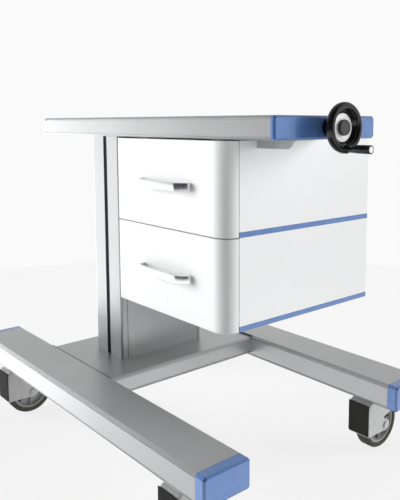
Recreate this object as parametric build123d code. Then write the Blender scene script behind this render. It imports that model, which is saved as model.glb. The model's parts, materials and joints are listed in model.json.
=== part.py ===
from build123d import *
import math
import os

# Two-drawer bedside cabinet hung under the worktop profile of a wheeled column stand.
# Millimetres. +Z up, +X to the right along the drawer fronts, the drawers open towards -Y.
# Everything is drawn about the middle of the base on the floor. save() then moves it so that
# the origin is the middle of the whole stand's box at floor level.

# Base: two beams along X joined by a cross-member
BASE_LENGTH = 1008.0
BASE_DEPTH = 668.0
BEAM_WIDTH = 109.0
BEAM_HEIGHT = 60.0
BEAM_WALL = 4.0
BEAM_CHAMFER = 5.5
BEAM_UNDERCUT = 5.0
BEAM_CAP = 25.0
BEAM_PLUG = 15.0
CASTOR_HEIGHT = 150.0
CORNER_BLOCK = 9.5
CORNER_BLOCK_REACH = 45.0
CORNER_BLOCK_HALF = 120.0
CORNER_SCREW_X = 80.0
FRAME_SCREW = 4.0

# Wide profile, used for the worktop and for the cross-member
PROFILE_WIDTH = 300.0
PROFILE_HEIGHT = 46.5
PROFILE_WALL = 4.0
PROFILE_CHAMFER = 4.5
GROOVE_WIDTH = 2.0
GROOVE_DEPTH = 1.2
SPINDLE_CHAMBER = 64.0
WORKTOP_X = (-469.0, 478.0)
WORKTOP_Y = 4.0
WORKTOP_CAP = 10.0
WORKTOP_PLUG = 12.0
WORKTOP_TOP = 821.0
BEARING_LENGTH = 40.0
BRACKET_X = 102.0
BRACKET_Y = (-52.0, 48.0)
BRACKET_DROP = 20.0
BRACKET_PLATE = 4.0
BRACKET_FLANGE = 66.0
BRACKET_SCREWS_Y = (-30.0, 26.0)
CROSS_X = -129.0
CROSS_DROP = 4.0

# Column
COLUMN_X = (-196.0, -70.0)
COLUMN_Y = (-140.0, 115.0)
COLUMN_GROOVE = 10.0
COLUMN_WALL = 4.0
COLUMN_RADIUS = 6.0
SLOT_WIDTH = 16.0
SLOT_DEPTH = 8.0

# Cabinet
CABINET_X = (-70.0, 334.0)
CABINET_FACE = -141.0
CABINET_SEAM = -102.0
CABINET_BACK = 331.0
CABINET_BOTTOM = 370.0
CABINET_HEIGHT = 401.0
BOARD = 16.0
SKIN = 5.0
STRIPE = 12.0
FRONT_THICKNESS = 18.0
FRONT_GAP = 2.0
CORNER_RADIUS = 36.0
RUNNER = 13.0
RUNNER_HEIGHT = 45.0
BOX_HEIGHT = 140.0
BOX_WALL = 6.0

# Bow handle
HANDLE_LENGTH = 187.0
HANDLE_REACH = 28.0
HANDLE_HEIGHT = 18.0
HANDLE_BAR = 7.0
HANDLE_RADIUS = 26.0
HANDLE_SCREW = 2.0

# Handwheel, its spindle and the sliding block that the spindle drives
WHEEL_RADIUS = 49.0
WHEEL_PLANE = 518.0
CRANK_RADIUS = 40.5
GRIP_END = 582.0
CRANK_PIN = 4.0
SPINDLE_RADIUS = 8.0
BLOCK_X = 137.0
BLOCK_LENGTH = 100.0
BLOCK_HOLE_SPACING = 60.0
TAPPED_M6 = 2.5

# Castors
CASTOR_X = 385.0
CASTOR_Y = 285.0
CASTOR_PLATE = 3.0
TYRE_RADIUS = 62.5
TYRE_DEPTH = 12.0
TRAIL = 30.0
AXLE_RADIUS = 6.0
CHEEK = (21.0, 30.0)
HOOD_FRONT = -40.0
HOOD_LOW = 50.0
PEDAL_PIVOT = (68.0, 130.0)
PEDAL_PIN = 3.0
PEDAL_REACH = 100.0

RUNNING = 0.05
CLEAR = 0.5

# Levels and centres worked out from the driving dimensions
BEAM_TOP = CASTOR_HEIGHT + BEAM_HEIGHT
CROSS_TOP = BEAM_TOP - CROSS_DROP
BEAM_Y = BASE_DEPTH / 2 - BEAM_WIDTH / 2
WORKTOP_BOTTOM = WORKTOP_TOP - PROFILE_HEIGHT
SPINDLE_Z = WORKTOP_TOP - PROFILE_HEIGHT / 2
COLUMN_MID = (sum(COLUMN_X) / 2, sum(COLUMN_Y) / 2)
CABINET_TOP = CABINET_BOTTOM + CABINET_HEIGHT
TIER_SPLIT = CABINET_BOTTOM + CABINET_HEIGHT / 2
FRONT_HEIGHT = (CABINET_HEIGHT - FRONT_GAP) / 2
INNER_X = (CABINET_X[0] + BOARD, CABINET_X[1] - SKIN - BOARD)
BOX_X = (INNER_X[0] + RUNNER, INNER_X[1] - RUNNER)
BOX_Y = (CABINET_FACE + FRONT_THICKNESS, CABINET_BACK - 41.0)
HANDLE_X = (CABINET_X[0] + CABINET_X[1]) / 2
HANDLE_LEG = HANDLE_LENGTH / 2 - HANDLE_BAR / 2
COLUMN_SCREWS = [
    (COLUMN_MID[0] + sx * 52, COLUMN_MID[1] + sy * 96) for sx in (-1, 1) for sy in (-1, 1)
]
WHEEL_BORE = SPINDLE_RADIUS + RUNNING
WHEEL_BACK = WORKTOP_X[1] + 5 - WHEEL_PLANE
GRIP_START = WHEEL_PLANE + 11 + CLEAR
CRANK_Z = SPINDLE_Z - CRANK_RADIUS
AXLE_Z = TYRE_RADIUS
TYRE_WELL = TYRE_RADIUS + 4
HOOD_RADIUS = TYRE_WELL + 4
CROWN_TOP = CASTOR_HEIGHT - 12

# The grip's end and the rear brake pedals reach furthest from the middle of the base
SHIFT_X = (BASE_LENGTH / 2 - GRIP_END) / 2
SHIFT_Y = (BASE_DEPTH / 2 - CASTOR_Y - PEDAL_REACH) / 2

os.makedirs("parts", exist_ok=True)


def save(node, *solids):
    """Write one node, as one solid or as a group of separate solids."""
    placed = [Pos(SHIFT_X, SHIFT_Y, 0) * solid for solid in solids]
    shape = placed[0] if len(placed) == 1 else Compound(children=placed)
    export_step(shape, f"parts/{node}.step")


def block(x0, x1, y0, y1, z0, z1):
    """A box between two limits on each axis."""
    centre = Pos((x0 + x1) / 2, (y0 + y1) / 2, (z0 + z1) / 2)
    return centre * Box(x1 - x0, y1 - y0, z1 - z0)


def rod_x(x0, x1, y, z, radius):
    return Pos((x0 + x1) / 2, y, z) * Rot(0, 90, 0) * Cylinder(radius, x1 - x0)


def rod_y(x, y0, y1, z, radius):
    return Pos(x, (y0 + y1) / 2, z) * Rot(90, 0, 0) * Cylinder(radius, y1 - y0)


def rod_z(x, y, z0, z1, radius):
    return Pos(x, y, (z0 + z1) / 2) * Cylinder(radius, z1 - z0)


def cap_screw(x, y, z0, z1, radius, head_radius, head):
    """A screw along Z from its head's face at z0 to its tip at z1; the head is on the z0 side."""
    way = math.copysign(1, z1 - z0)
    low, high = sorted((z0, z0 + way * head))
    shank_low, shank_high = sorted((z0 + way * head, z1))
    return rod_z(x, y, low, high, head_radius) + rod_z(x, y, shank_low, shank_high, radius)


def outline(width, height, top, bottom):
    """A bar section centred on its middle, with its top and bottom edges chamfered."""
    w, h = width / 2, height / 2
    return Polygon(
        (-w + bottom, -h), (w - bottom, -h), (w, -h + bottom), (w, h - top),
        (w - top, h), (-w + top, h), (-w, h - top), (-w, -h + bottom), align=None,
    )


def grooved(section, width, height, top, bottom):
    """The section with a fine groove along each side face, next to each chamfer."""
    for side in (-1, 1):
        for z in (height / 2 - top - GROOVE_WIDTH, bottom + GROOVE_WIDTH - height / 2):
            section -= Pos(side * width / 2, z) * Rectangle(2 * GROOVE_DEPTH, GROOVE_WIDTH)
    return section


def spans(low, high, count, wall):
    """The limits of equal chambers between two walls, with webs of one wall between them."""
    size = (high - low - (count - 1) * wall) / count
    return [(low + i * (size + wall), low + i * (size + wall) + size) for i in range(count)]


# ------------------------------------------------------------------ base

def beam_chambers():
    return spans(-BEAM_WIDTH / 2 + BEAM_WALL, BEAM_WIDTH / 2 - BEAM_WALL, 2, BEAM_WALL)


def beam_chamber_height():
    return BEAM_HEIGHT - 2 * BEAM_WALL - 8


def beam(y):
    half = BASE_LENGTH / 2 - BEAM_CAP
    shape = (BEAM_WIDTH, BEAM_HEIGHT, BEAM_CHAMFER, BEAM_UNDERCUT)
    section = grooved(outline(*shape), *shape)
    for low, high in beam_chambers():
        section -= Pos((low + high) / 2, -1) * Rectangle(high - low, beam_chamber_height())
    profile = Plane.YZ.offset(-half) * section
    return Pos(0, y, BEAM_TOP - BEAM_HEIGHT / 2) * extrude(profile, 2 * half)


def beam_cap(y, side):
    """Blue end cap with a bevelled face and two plugs that fit inside the beam."""
    section = outline(BEAM_WIDTH, BEAM_HEIGHT, BEAM_CHAMFER, BEAM_UNDERCUT)
    cap = extrude(Plane.YZ * section, BEAM_CAP)
    cap = chamfer(cap.faces().sort_by(Axis.X)[-1].edges(), 4)
    for low, high in beam_chambers():
        tongue = Box(BEAM_PLUG, high - low - 2 * CLEAR, beam_chamber_height() - 2 * CLEAR)
        cap += Pos(-BEAM_PLUG / 2, (low + high) / 2, -1) * tongue
    if side < 0:
        cap = mirror(cap, Plane.YZ)
    return Pos(side * (BASE_LENGTH / 2 - BEAM_CAP), y, BEAM_TOP - BEAM_HEIGHT / 2) * cap


def profile_chambers():
    """The worktop profile's chambers: two each side of the one that holds the spindle."""
    inner = PROFILE_WIDTH / 2 - PROFILE_WALL
    middle = SPINDLE_CHAMBER / 2
    left = spans(-inner, -middle - PROFILE_WALL, 2, PROFILE_WALL)
    right = [(-high, -low) for low, high in left]
    return left + [(-middle, middle)] + right


def wide_profile():
    shape = (PROFILE_WIDTH, PROFILE_HEIGHT, PROFILE_CHAMFER, PROFILE_CHAMFER)
    section = grooved(outline(*shape), *shape)
    height = PROFILE_HEIGHT - 2 * PROFILE_WALL
    for low, high in profile_chambers():
        section -= Pos((low + high) / 2, 0) * RectangleRounded(high - low, height, 2.5)
    return section


def cross_member():
    """Wide profile between the beams. Its ends are coped to sit on the beams' chamfers."""
    length = BASE_DEPTH - 2 * BEAM_WIDTH + 2 * BEAM_CHAMFER
    profile = Plane.XZ.offset(-length / 2) * wide_profile()
    z = CROSS_TOP - PROFILE_HEIGHT / 2
    body = Pos(CROSS_X, 0, z) * extrude(profile, length)
    beam_section = outline(BEAM_WIDTH, BEAM_HEIGHT, BEAM_CHAMFER, BEAM_UNDERCUT)
    cope = extrude(Plane.YZ.offset(-PROFILE_WIDTH) * beam_section, 2 * PROFILE_WIDTH)
    for side in (-1, 1):
        body -= Pos(CROSS_X, side * BEAM_Y, BEAM_TOP - BEAM_HEIGHT / 2) * cope
    for x, y in COLUMN_SCREWS:
        body -= rod_z(x, y, CROSS_TOP - PROFILE_HEIGHT - 1, CROSS_TOP + 1, FRAME_SCREW + 0.2)
    return body


def corner_block(side):
    """Block that fills the step between a beam's inner face and the cross-member's underside."""
    y = side * (BASE_DEPTH / 2 - BEAM_WIDTH)
    y_inner = y - side * CORNER_BLOCK_REACH
    low, high = sorted((y, y_inner))
    top = CROSS_TOP - PROFILE_HEIGHT
    x0, x1 = CROSS_X - CORNER_BLOCK_HALF, CROSS_X + CORNER_BLOCK_HALF
    solid = block(x0, x1, low, high, top - CORNER_BLOCK, top)
    lower_edges = solid.edges().filter_by(Axis.X).group_by(Axis.Z)[0]
    solid = chamfer(lower_edges.sort_by_distance((CROSS_X, y_inner, top - CORNER_BLOCK))[0], 8)
    for x in (-CORNER_SCREW_X, CORNER_SCREW_X):
        solid -= rod_z(CROSS_X + x, y - side * 20, top - CORNER_BLOCK - 1, top + 1, 3.2)
    return solid


def castor_plate(x, y):
    """Top plate, raceway and kingpin of one castor, fixed under a beam."""
    under = CASTOR_HEIGHT - CASTOR_PLATE
    plate = block(-42, 42, -42, 42, under, CASTOR_HEIGHT)
    plate = fillet(plate.edges().filter_by(Axis.Z), 8)
    race = rod_z(0, 0, CROWN_TOP + 0.3, under, 29)
    race = fillet(race.edges().group_by(Axis.Z)[0], 2)
    pin = rod_z(0, 0, CASTOR_HEIGHT - 26, CASTOR_HEIGHT - 11, 6)
    return Pos(x, y, 0) * (plate + race + pin)


def base_screws():
    """Castor plate screws, corner block screws, column screws and bracket screws."""
    screws = []
    under = CASTOR_HEIGHT - CASTOR_PLATE
    for x, y in castors():
        for sx in (-1, 1):
            for sy in (-1, 1):
                screws.append(rod_z(x + sx * 33, y + sy * 33, under - 2.6, under, 5))
    top = CROSS_TOP - PROFILE_HEIGHT
    for side in (-1, 1):
        y = side * (BASE_DEPTH / 2 - BEAM_WIDTH - 20)
        for x in (-CORNER_SCREW_X, CORNER_SCREW_X):
            head = top - CORNER_BLOCK - 3.5
            screws.append(cap_screw(CROSS_X + x, y, head, top - 0.5, 3, 5.5, 3.5))
    floor = WORKTOP_BOTTOM + PROFILE_WALL
    for x, y in COLUMN_SCREWS:
        screws.append(cap_screw(x, y, top - 8, CROSS_TOP + 22, FRAME_SCREW, 6.5, 8))
        screws.append(cap_screw(x, y, floor + 8, WORKTOP_BOTTOM - 22, FRAME_SCREW, 6.5, 8))
    for x, y in bracket_screws():
        head = WORKTOP_BOTTOM - BRACKET_PLATE - 3
        screws.append(cap_screw(x, y, head, floor - 0.5, 3, 5.5, 3))
    return screws


def castors():
    return [(sx * CASTOR_X, sy * CASTOR_Y) for sy in (-1, 1) for sx in (-1, 1)]


# ------------------------------------------------------------------ column

def column():
    width = COLUMN_X[1] - COLUMN_X[0]
    depth = COLUMN_Y[1] - COLUMN_Y[0]
    section = RectangleRounded(width, depth, COLUMN_RADIUS)
    inner_x = width / 2 - COLUMN_WALL
    inner_y = depth / 2 - SLOT_DEPTH - COLUMN_WALL
    for x0, x1 in spans(-inner_x, inner_x, 2, COLUMN_WALL):
        for y0, y1 in spans(-inner_y, inner_y, 3, COLUMN_WALL):
            centre = Pos((x0 + x1) / 2, (y0 + y1) / 2)
            section -= centre * RectangleRounded(x1 - x0, y1 - y0, 3)
    for side in (-1, 1):
        section -= Pos(0, side * (depth / 2 - SLOT_DEPTH / 2)) * Rectangle(SLOT_WIDTH, SLOT_DEPTH)
        for end in (-1, 1):
            groove = Rectangle(2 * GROOVE_DEPTH, COLUMN_GROOVE)
            section -= Pos(side * width / 2, end * (depth / 2 - 1.4 * COLUMN_GROOVE)) * groove
    for x, y in COLUMN_SCREWS:
        boss = Pos(x - COLUMN_MID[0], y - COLUMN_MID[1])
        section += boss * Circle(9)
    for x, y in COLUMN_SCREWS:
        section -= Pos(x - COLUMN_MID[0], y - COLUMN_MID[1]) * Circle(FRAME_SCREW + 0.1)
    bar = extrude(section, WORKTOP_BOTTOM - CROSS_TOP)
    return Pos(*COLUMN_MID, CROSS_TOP) * bar


def slot_strip(side):
    """Cover strip, set 1 mm back in the column's slot."""
    edge = COLUMN_Y[1] if side > 0 else COLUMN_Y[0]
    low, high = sorted((edge - side * 1, edge - side * 5))
    half = SLOT_WIDTH / 2
    return block(COLUMN_MID[0] - half, COLUMN_MID[0] + half, low, high, CROSS_TOP, WORKTOP_BOTTOM)


# ------------------------------------------------------------------ worktop

def worktop():
    x0, x1 = WORKTOP_X[0] + WORKTOP_CAP, WORKTOP_X[1] - WORKTOP_CAP
    bar = extrude(Plane.YZ.offset(x0) * wide_profile(), x1 - x0)
    bar = Pos(0, WORKTOP_Y, SPINDLE_Z) * bar
    bar -= block(x0 - 1, x1 + 1, WORKTOP_Y - 10, WORKTOP_Y + 10, SPINDLE_Z + 10, WORKTOP_TOP + 1)
    for x, y in COLUMN_SCREWS:
        bar -= rod_z(x, y, WORKTOP_BOTTOM - 1, WORKTOP_BOTTOM + PROFILE_WALL + 1, FRAME_SCREW + 0.2)
    for x, y in bracket_screws():
        bar -= rod_z(x, y, WORKTOP_BOTTOM - 1, WORKTOP_BOTTOM + PROFILE_WALL + 1, 3.2)
    return bar


def worktop_cap(side):
    """End cap with a bevelled face and a plug in each outer chamber."""
    section = outline(PROFILE_WIDTH, PROFILE_HEIGHT, PROFILE_CHAMFER, PROFILE_CHAMFER)
    cap = extrude(Plane.YZ * section, WORKTOP_CAP)
    cap = chamfer(cap.faces().sort_by(Axis.X)[-1].edges(), 4)
    height = PROFILE_HEIGHT - 2 * PROFILE_WALL - 2 * CLEAR
    chambers = profile_chambers()
    for low, high in chambers[:2] + chambers[3:]:
        tongue = Box(WORKTOP_PLUG, high - low - 2 * CLEAR, height)
        tongue = fillet(tongue.edges().filter_by(Axis.X), 3)
        cap += Pos(-WORKTOP_PLUG / 2, (low + high) / 2, 0) * tongue
    if side > 0:
        cap -= rod_x(-1, WORKTOP_CAP + 1, 0, 0, 18.2)
        return Pos(WORKTOP_X[1] - WORKTOP_CAP, WORKTOP_Y, SPINDLE_Z) * cap
    return Pos(WORKTOP_X[0] + WORKTOP_CAP, WORKTOP_Y, SPINDLE_Z) * mirror(cap, Plane.YZ)


def spindle_bearing(side):
    """Bearing block in the middle chamber; the right one has a collar through the end cap."""
    width = SPINDLE_CHAMBER - 2 * CLEAR
    height = PROFILE_HEIGHT - 2 * PROFILE_WALL - 2 * CLEAR
    body = fillet(Box(BEARING_LENGTH, width, height).edges().filter_by(Axis.X), 3)
    if side > 0:
        body += rod_x(BEARING_LENGTH / 2, BEARING_LENGTH / 2 + WORKTOP_CAP + 4, 0, 0, 18)
    body -= rod_x(-BEARING_LENGTH, BEARING_LENGTH, 0, 0, WHEEL_BORE)
    end = WORKTOP_X[1] - WORKTOP_CAP if side > 0 else WORKTOP_X[0] + WORKTOP_CAP
    return Pos(end - side * BEARING_LENGTH / 2, WORKTOP_Y, SPINDLE_Z) * body


def bracket_screws():
    return [(CABINET_X[1] + BRACKET_FLANGE / 2, y) for y in BRACKET_SCREWS_Y]


def worktop_bracket():
    """Gusset under the worktop's right overhang: a web and flanges on the cabinet and worktop."""
    x0 = CABINET_X[1]
    low = WORKTOP_BOTTOM - BRACKET_DROP
    y0, y1 = BRACKET_Y
    web = block(x0, x0 + BRACKET_X, y0, y0 + BRACKET_PLATE, low, WORKTOP_BOTTOM)
    corner = web.edges().filter_by(Axis.Y).group_by(Axis.Z)[0].sort_by(Axis.X)[-1]
    web = fillet(corner, BRACKET_DROP - 1)
    bracket = web + block(x0, x0 + BRACKET_PLATE, y0, y1, low, WORKTOP_BOTTOM)
    bracket += block(
        x0, x0 + BRACKET_FLANGE, y0, y1, WORKTOP_BOTTOM - BRACKET_PLATE, WORKTOP_BOTTOM
    )
    for x, y in bracket_screws():
        bracket -= rod_z(x, y, low, WORKTOP_BOTTOM + 1, 3.2)
    return bracket


def sliding_block():
    """Nut block in the middle chamber, with a neck up through the slot and two tapped holes."""
    height = PROFILE_HEIGHT - 2 * PROFILE_WALL - 2 * CLEAR
    width = SPINDLE_CHAMBER - 2 * CLEAR
    body = fillet(Box(BLOCK_LENGTH, width, height).edges().filter_by(Axis.X), 3)
    neck_top = PROFILE_HEIGHT / 2 + CLEAR
    body += Pos(0, 0, neck_top / 2 + 4) * Box(BLOCK_LENGTH, 19, neck_top - 8)
    body -= rod_x(-BLOCK_LENGTH, BLOCK_LENGTH, 0, 0, WHEEL_BORE)
    for side in (-1, 1):
        x = side * BLOCK_HOLE_SPACING / 2
        body -= rod_z(x, 0, neck_top - 12, neck_top + 1, TAPPED_M6)
    return Pos(BLOCK_X, WORKTOP_Y, SPINDLE_Z) * body


# ------------------------------------------------------------------ cabinet

def cabinet_panels():
    x0, x1 = CABINET_X
    y_front = CABINET_FACE + FRONT_THICKNESS + 3
    back = 8.0
    right_front = CABINET_SEAM + 1
    z0, z1 = CABINET_BOTTOM, CABINET_TOP
    skin_x = x1 - SKIN
    split = TIER_SPLIT
    panels = {
        "cabinet_left_side": block(x0, INNER_X[0], y_front, CABINET_BACK, z0, z1),
        "cabinet_right_side": block(INNER_X[1], skin_x, right_front, CABINET_BACK, z0, z1),
        "cabinet_top": block(*INNER_X, y_front, CABINET_BACK, z1 - BOARD, z1),
        "cabinet_bottom": block(*INNER_X, y_front, CABINET_BACK, z0, z0 + BOARD),
        "cabinet_divider": block(
            *INNER_X, y_front, CABINET_BACK - back, split - BOARD / 2, split + BOARD / 2
        ),
        "cabinet_back": block(*INNER_X, CABINET_BACK - back, CABINET_BACK, z0 + BOARD, z1 - BOARD),
        "side_skin_upper": block(skin_x, x1, right_front, CABINET_BACK, split + STRIPE, z1),
        "side_skin_lower": block(skin_x, x1, right_front, CABINET_BACK, z0 + STRIPE, split),
        "stripe_upper": block(skin_x, x1, right_front, CABINET_BACK, split, split + STRIPE),
        "stripe_lower": block(skin_x, x1, right_front, CABINET_BACK, z0, z0 + STRIPE),
    }
    for name in ("side_skin_upper", "side_skin_lower", "stripe_upper", "stripe_lower"):
        panel = panels[name]
        rear = panel.edges().filter_by(Axis.Z).group_by(Axis.X)[-1].sort_by(Axis.Y)[-1]
        panels[name] = fillet(rear, 3)
    for name in ("cabinet_top", "cabinet_bottom", "cabinet_divider"):
        panel = panels[name]
        front = panel.edges().filter_by(Axis.Z).group_by(Axis.Y)[0].sort_by(Axis.X)[-1]
        panels[name] = chamfer(front, 20)
    return panels


def hanger(x):
    """Spacer plate between the cabinet's top and the worktop's underside."""
    return block(x - 25, x + 25, -110, 140, CABINET_TOP, WORKTOP_BOTTOM)


def channel(x_wall, way, web, flange, half_height, y0, y1, z):
    """A thin channel along Y. Distances in web and flange are measured inwards from the wall."""
    sheet = 1.6

    def across(near, far, low, high):
        a, b = sorted((x_wall + way * near, x_wall + way * far))
        return block(a, b, y0, y1, z + low, z + high)

    return (
        across(web, web + sheet, -half_height, half_height)
        + across(*sorted((web, flange)), half_height - sheet, half_height)
        + across(*sorted((web, flange)), -half_height, -half_height + sheet)
    )


def runner_members(kind, z):
    """The outer, middle or inner member of a drawer's two runners."""
    shapes = {
        "outer": (0.0, 9.0, RUNNER_HEIGHT / 2, BOX_Y[0] + 23, BOX_Y[1] + 15),
        "middle": (4.5, 11.0, 20.0, BOX_Y[0] + 10, BOX_Y[1] - 10),
        "inner": (RUNNER - 1.6, 8.0, 17.0, BOX_Y[0] + 5, BOX_Y[1]),
    }
    web, flange, half_height, y0, y1 = shapes[kind]
    return [
        channel(INNER_X[0], 1, web, flange, half_height, y0, y1, z),
        channel(INNER_X[1], -1, web, flange, half_height, y0, y1, z),
    ]


def tier_bottoms():
    """For each drawer: its name, its front's bottom edge and its opening's bottom edge."""
    return (
        ("lower", CABINET_BOTTOM, CABINET_BOTTOM + BOARD),
        ("upper", TIER_SPLIT + FRONT_GAP / 2, TIER_SPLIT + BOARD / 2),
    )


def drawer_front(z0):
    """Front panel whose right end wraps round the cabinet's corner to the side seam."""
    left = CABINET_X[0] + 1.5
    right = CABINET_X[1]
    face, inner = CABINET_FACE, CABINET_FACE + FRONT_THICKNESS
    end = CABINET_SEAM - 1
    sketch = Polygon(
        (left, face), (right, face), (right, end),
        (right - FRONT_THICKNESS, end), (right - FRONT_THICKNESS, inner), (left, inner), align=None,
    )
    outer_corner = sketch.vertices().sort_by_distance((right, face, 0))[0]
    sketch = fillet(outer_corner, CORNER_RADIUS)
    inner_corner = sketch.vertices().sort_by_distance((right - FRONT_THICKNESS, inner, 0))[0]
    sketch = fillet(inner_corner, CORNER_RADIUS - FRONT_THICKNESS)
    panel = extrude(Pos(0, 0, z0) * sketch, FRONT_HEIGHT)
    levels = panel.edges().group_by(Axis.Z)
    rim = [
        edge for edge in levels[0] + levels[-1]
        if edge.center().Y < face + 1 or edge.center().X > right - CORNER_RADIUS / 3
    ]
    panel = fillet(rim, 1.5)
    z = z0 + FRONT_HEIGHT / 2
    for side in (-1, 1):
        panel -= rod_y(HANDLE_X + side * HANDLE_LEG, face - 1, inner + 1, z, HANDLE_SCREW + 0.2)
    return panel


def drawer_box(z0, z_handle):
    """Moulded tray, open at the top, screwed to the back of the front."""
    z1 = z0 + BOX_HEIGHT
    tray = block(*BOX_X, *BOX_Y, z0, z1)
    tray = fillet(tray.edges().filter_by(Axis.Z), 4)
    w = BOX_WALL
    hollow = block(BOX_X[0] + w, BOX_X[1] - w, BOX_Y[0] + w, BOX_Y[1] - w, z0 + w, z1 + 10)
    tray -= fillet(hollow.edges().filter_by(Axis.Z), 4)
    for side in (-1, 1):
        x = HANDLE_X + side * HANDLE_LEG
        tray -= rod_y(x, BOX_Y[0] - 1, BOX_Y[0] + w + 1, z_handle, HANDLE_SCREW + 0.2)
    return tray


def bow_handle(z):
    half, reach, bar = HANDLE_LENGTH / 2, HANDLE_REACH, HANDLE_BAR
    sketch = Polygon(
        (-half, 0), (-half, -reach), (half, -reach), (half, 0),
        (half - bar, 0), (half - bar, bar - reach), (bar - half, bar - reach), (bar - half, 0),
        align=None,
    )
    for side in (-1, 1):
        corner = sketch.vertices().sort_by_distance((side * half, -reach, 0))[0]
        sketch = fillet(corner, HANDLE_RADIUS)
        corner = sketch.vertices().sort_by_distance((side * (half - bar), bar - reach, 0))[0]
        sketch = fillet(corner, HANDLE_RADIUS - bar)
    handle = extrude(Pos(0, 0, -HANDLE_HEIGHT / 2) * sketch, HANDLE_HEIGHT)
    along = handle.edges().group_by(Axis.Z)
    outside = [
        edge for group in (along[0], along[-1]) for edge in group if edge.center().Y < -0.1
    ]
    handle = fillet(outside, 2.5)
    for side in (-1, 1):
        handle -= rod_y(side * HANDLE_LEG, -12, 1, 0, HANDLE_SCREW + RUNNING)
    return Pos(HANDLE_X, CABINET_FACE, z) * handle


def handle_screws(z):
    seat = BOX_Y[0] + BOX_WALL
    tip = CABINET_FACE - 10
    screws = []
    for side in (-1, 1):
        x = HANDLE_X + side * HANDLE_LEG
        screws.append(rod_y(x, seat, seat + 2.5, z, 4.5) + rod_y(x, tip, seat, z, HANDLE_SCREW))
    return screws


# ------------------------------------------------------------------ handwheel

def revolved(points, radii, x, y, z):
    """Turn a closed outline of (distance along X, radius) about the X axis, then place it.
    radii maps the index of a point to the radius of the round at that corner."""
    sketch = Polygon(*points, align=None)
    for index, radius in radii.items():
        px, py = points[index]
        corner = sketch.vertices().sort_by_distance((px, py, 0))[0]
        sketch = fillet(corner, radius)
    turned = revolve(Plane.XZ * sketch, Axis.X)
    return Pos(x, y, z) * turned


def handwheel_rim():
    """Dished wheel: rounded rim, sloping web and a hub that ends clear of the bearing collar."""
    points = [
        (WHEEL_BACK, WHEEL_BORE), (WHEEL_BACK, 14), (-14, 17), (-9, 37), (-9, WHEEL_RADIUS),
        (8, WHEEL_RADIUS), (8, 36), (2, 36), (-7, 29), (-7, WHEEL_BORE),
    ]
    rounds = {4: 6, 5: 5, 6: 3, 7: 3, 1: 2, 2: 8}
    wheel = revolved(points, rounds, WHEEL_PLANE, WORKTOP_Y, SPINDLE_Z)
    wheel += rod_x(WHEEL_PLANE - 6, WHEEL_PLANE + 11, WORKTOP_Y, CRANK_Z, 8)
    wheel -= rod_x(WHEEL_PLANE - 4, WHEEL_PLANE + 12, WORKTOP_Y, CRANK_Z, CRANK_PIN + RUNNING)
    return wheel


def handwheel_disc():
    points = [(-7, WHEEL_BORE), (-7, 28), (-4, 28), (-4, WHEEL_BORE)]
    return revolved(points, {2: 1.2}, WHEEL_PLANE, WORKTOP_Y, SPINDLE_Z)


def hub_cap():
    points = [(-4, 0), (-4, 15.5), (3, 15.5), (3, 0)]
    return revolved(points, {2: 2}, WHEEL_PLANE, WORKTOP_Y, SPINDLE_Z)


def spindle():
    end = WHEEL_PLANE - 4
    return rod_x(WORKTOP_X[0] + WORKTOP_CAP + 6, end, WORKTOP_Y, SPINDLE_Z, SPINDLE_RADIUS)


def crank_pin():
    pin = rod_x(WHEEL_PLANE - 4, GRIP_END - 6.5, WORKTOP_Y, CRANK_Z, CRANK_PIN)
    return pin + rod_x(GRIP_END - 6.5, GRIP_END - 4.5, WORKTOP_Y, CRANK_Z, 6)


def grip_sleeve():
    """Revolving grip with a step bore for the pin's head and a recess for its end disc."""
    length = GRIP_END - GRIP_START
    inner = CRANK_PIN + RUNNING
    points = [
        (0, inner), (0, 7.2), (length * 0.45, 8.2), (length, 8.6), (length, 6.6),
        (length - 3, 6.6), (length - 7, 6.6), (length - 7, inner),
    ]
    rounds = {1: 1.5, 3: 1.5}
    return revolved(points, rounds, GRIP_START, WORKTOP_Y, CRANK_Z)


def grip_disc():
    return rod_x(GRIP_END - 3, GRIP_END - 0.3, WORKTOP_Y, CRANK_Z, 6.6)


# ------------------------------------------------------------------ castors

def hood_side():
    """Side view of the hood: a straight front, a round back, and legs down to the axle."""
    hood_top = AXLE_Z + HOOD_RADIUS
    front = Pos((HOOD_FRONT + TRAIL) / 2, (hood_top + HOOD_LOW) / 2) * Rectangle(
        TRAIL - HOOD_FRONT, hood_top - HOOD_LOW
    )
    front_top = front.vertices().sort_by_distance((HOOD_FRONT, hood_top, 0))[0]
    front = fillet(front_top, 14)
    cover = front + Pos(TRAIL, AXLE_Z) * Circle(HOOD_RADIUS)
    cover &= Polygon(
        (HOOD_FRONT, HOOD_LOW), (8, HOOD_LOW), (22, 78), (22, 86), (110, 106), (110, hood_top),
        (HOOD_FRONT, hood_top), align=None,
    )
    boss = Pos(TRAIL, AXLE_Z) * Circle(14)
    web = Polygon((0, HOOD_LOW), (TRAIL, AXLE_Z - 14), (TRAIL, AXLE_Z + 14), (0, 90), align=None)
    return cover + boss + web


def pedal_ear():
    y, z = PEDAL_PIVOT
    return Pos(y, z) * Circle(8) + Polygon(
        (y - 8, z), (y - 24, z - 17), (y + 14, z - 32), (y + 8, z), align=None
    )


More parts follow.
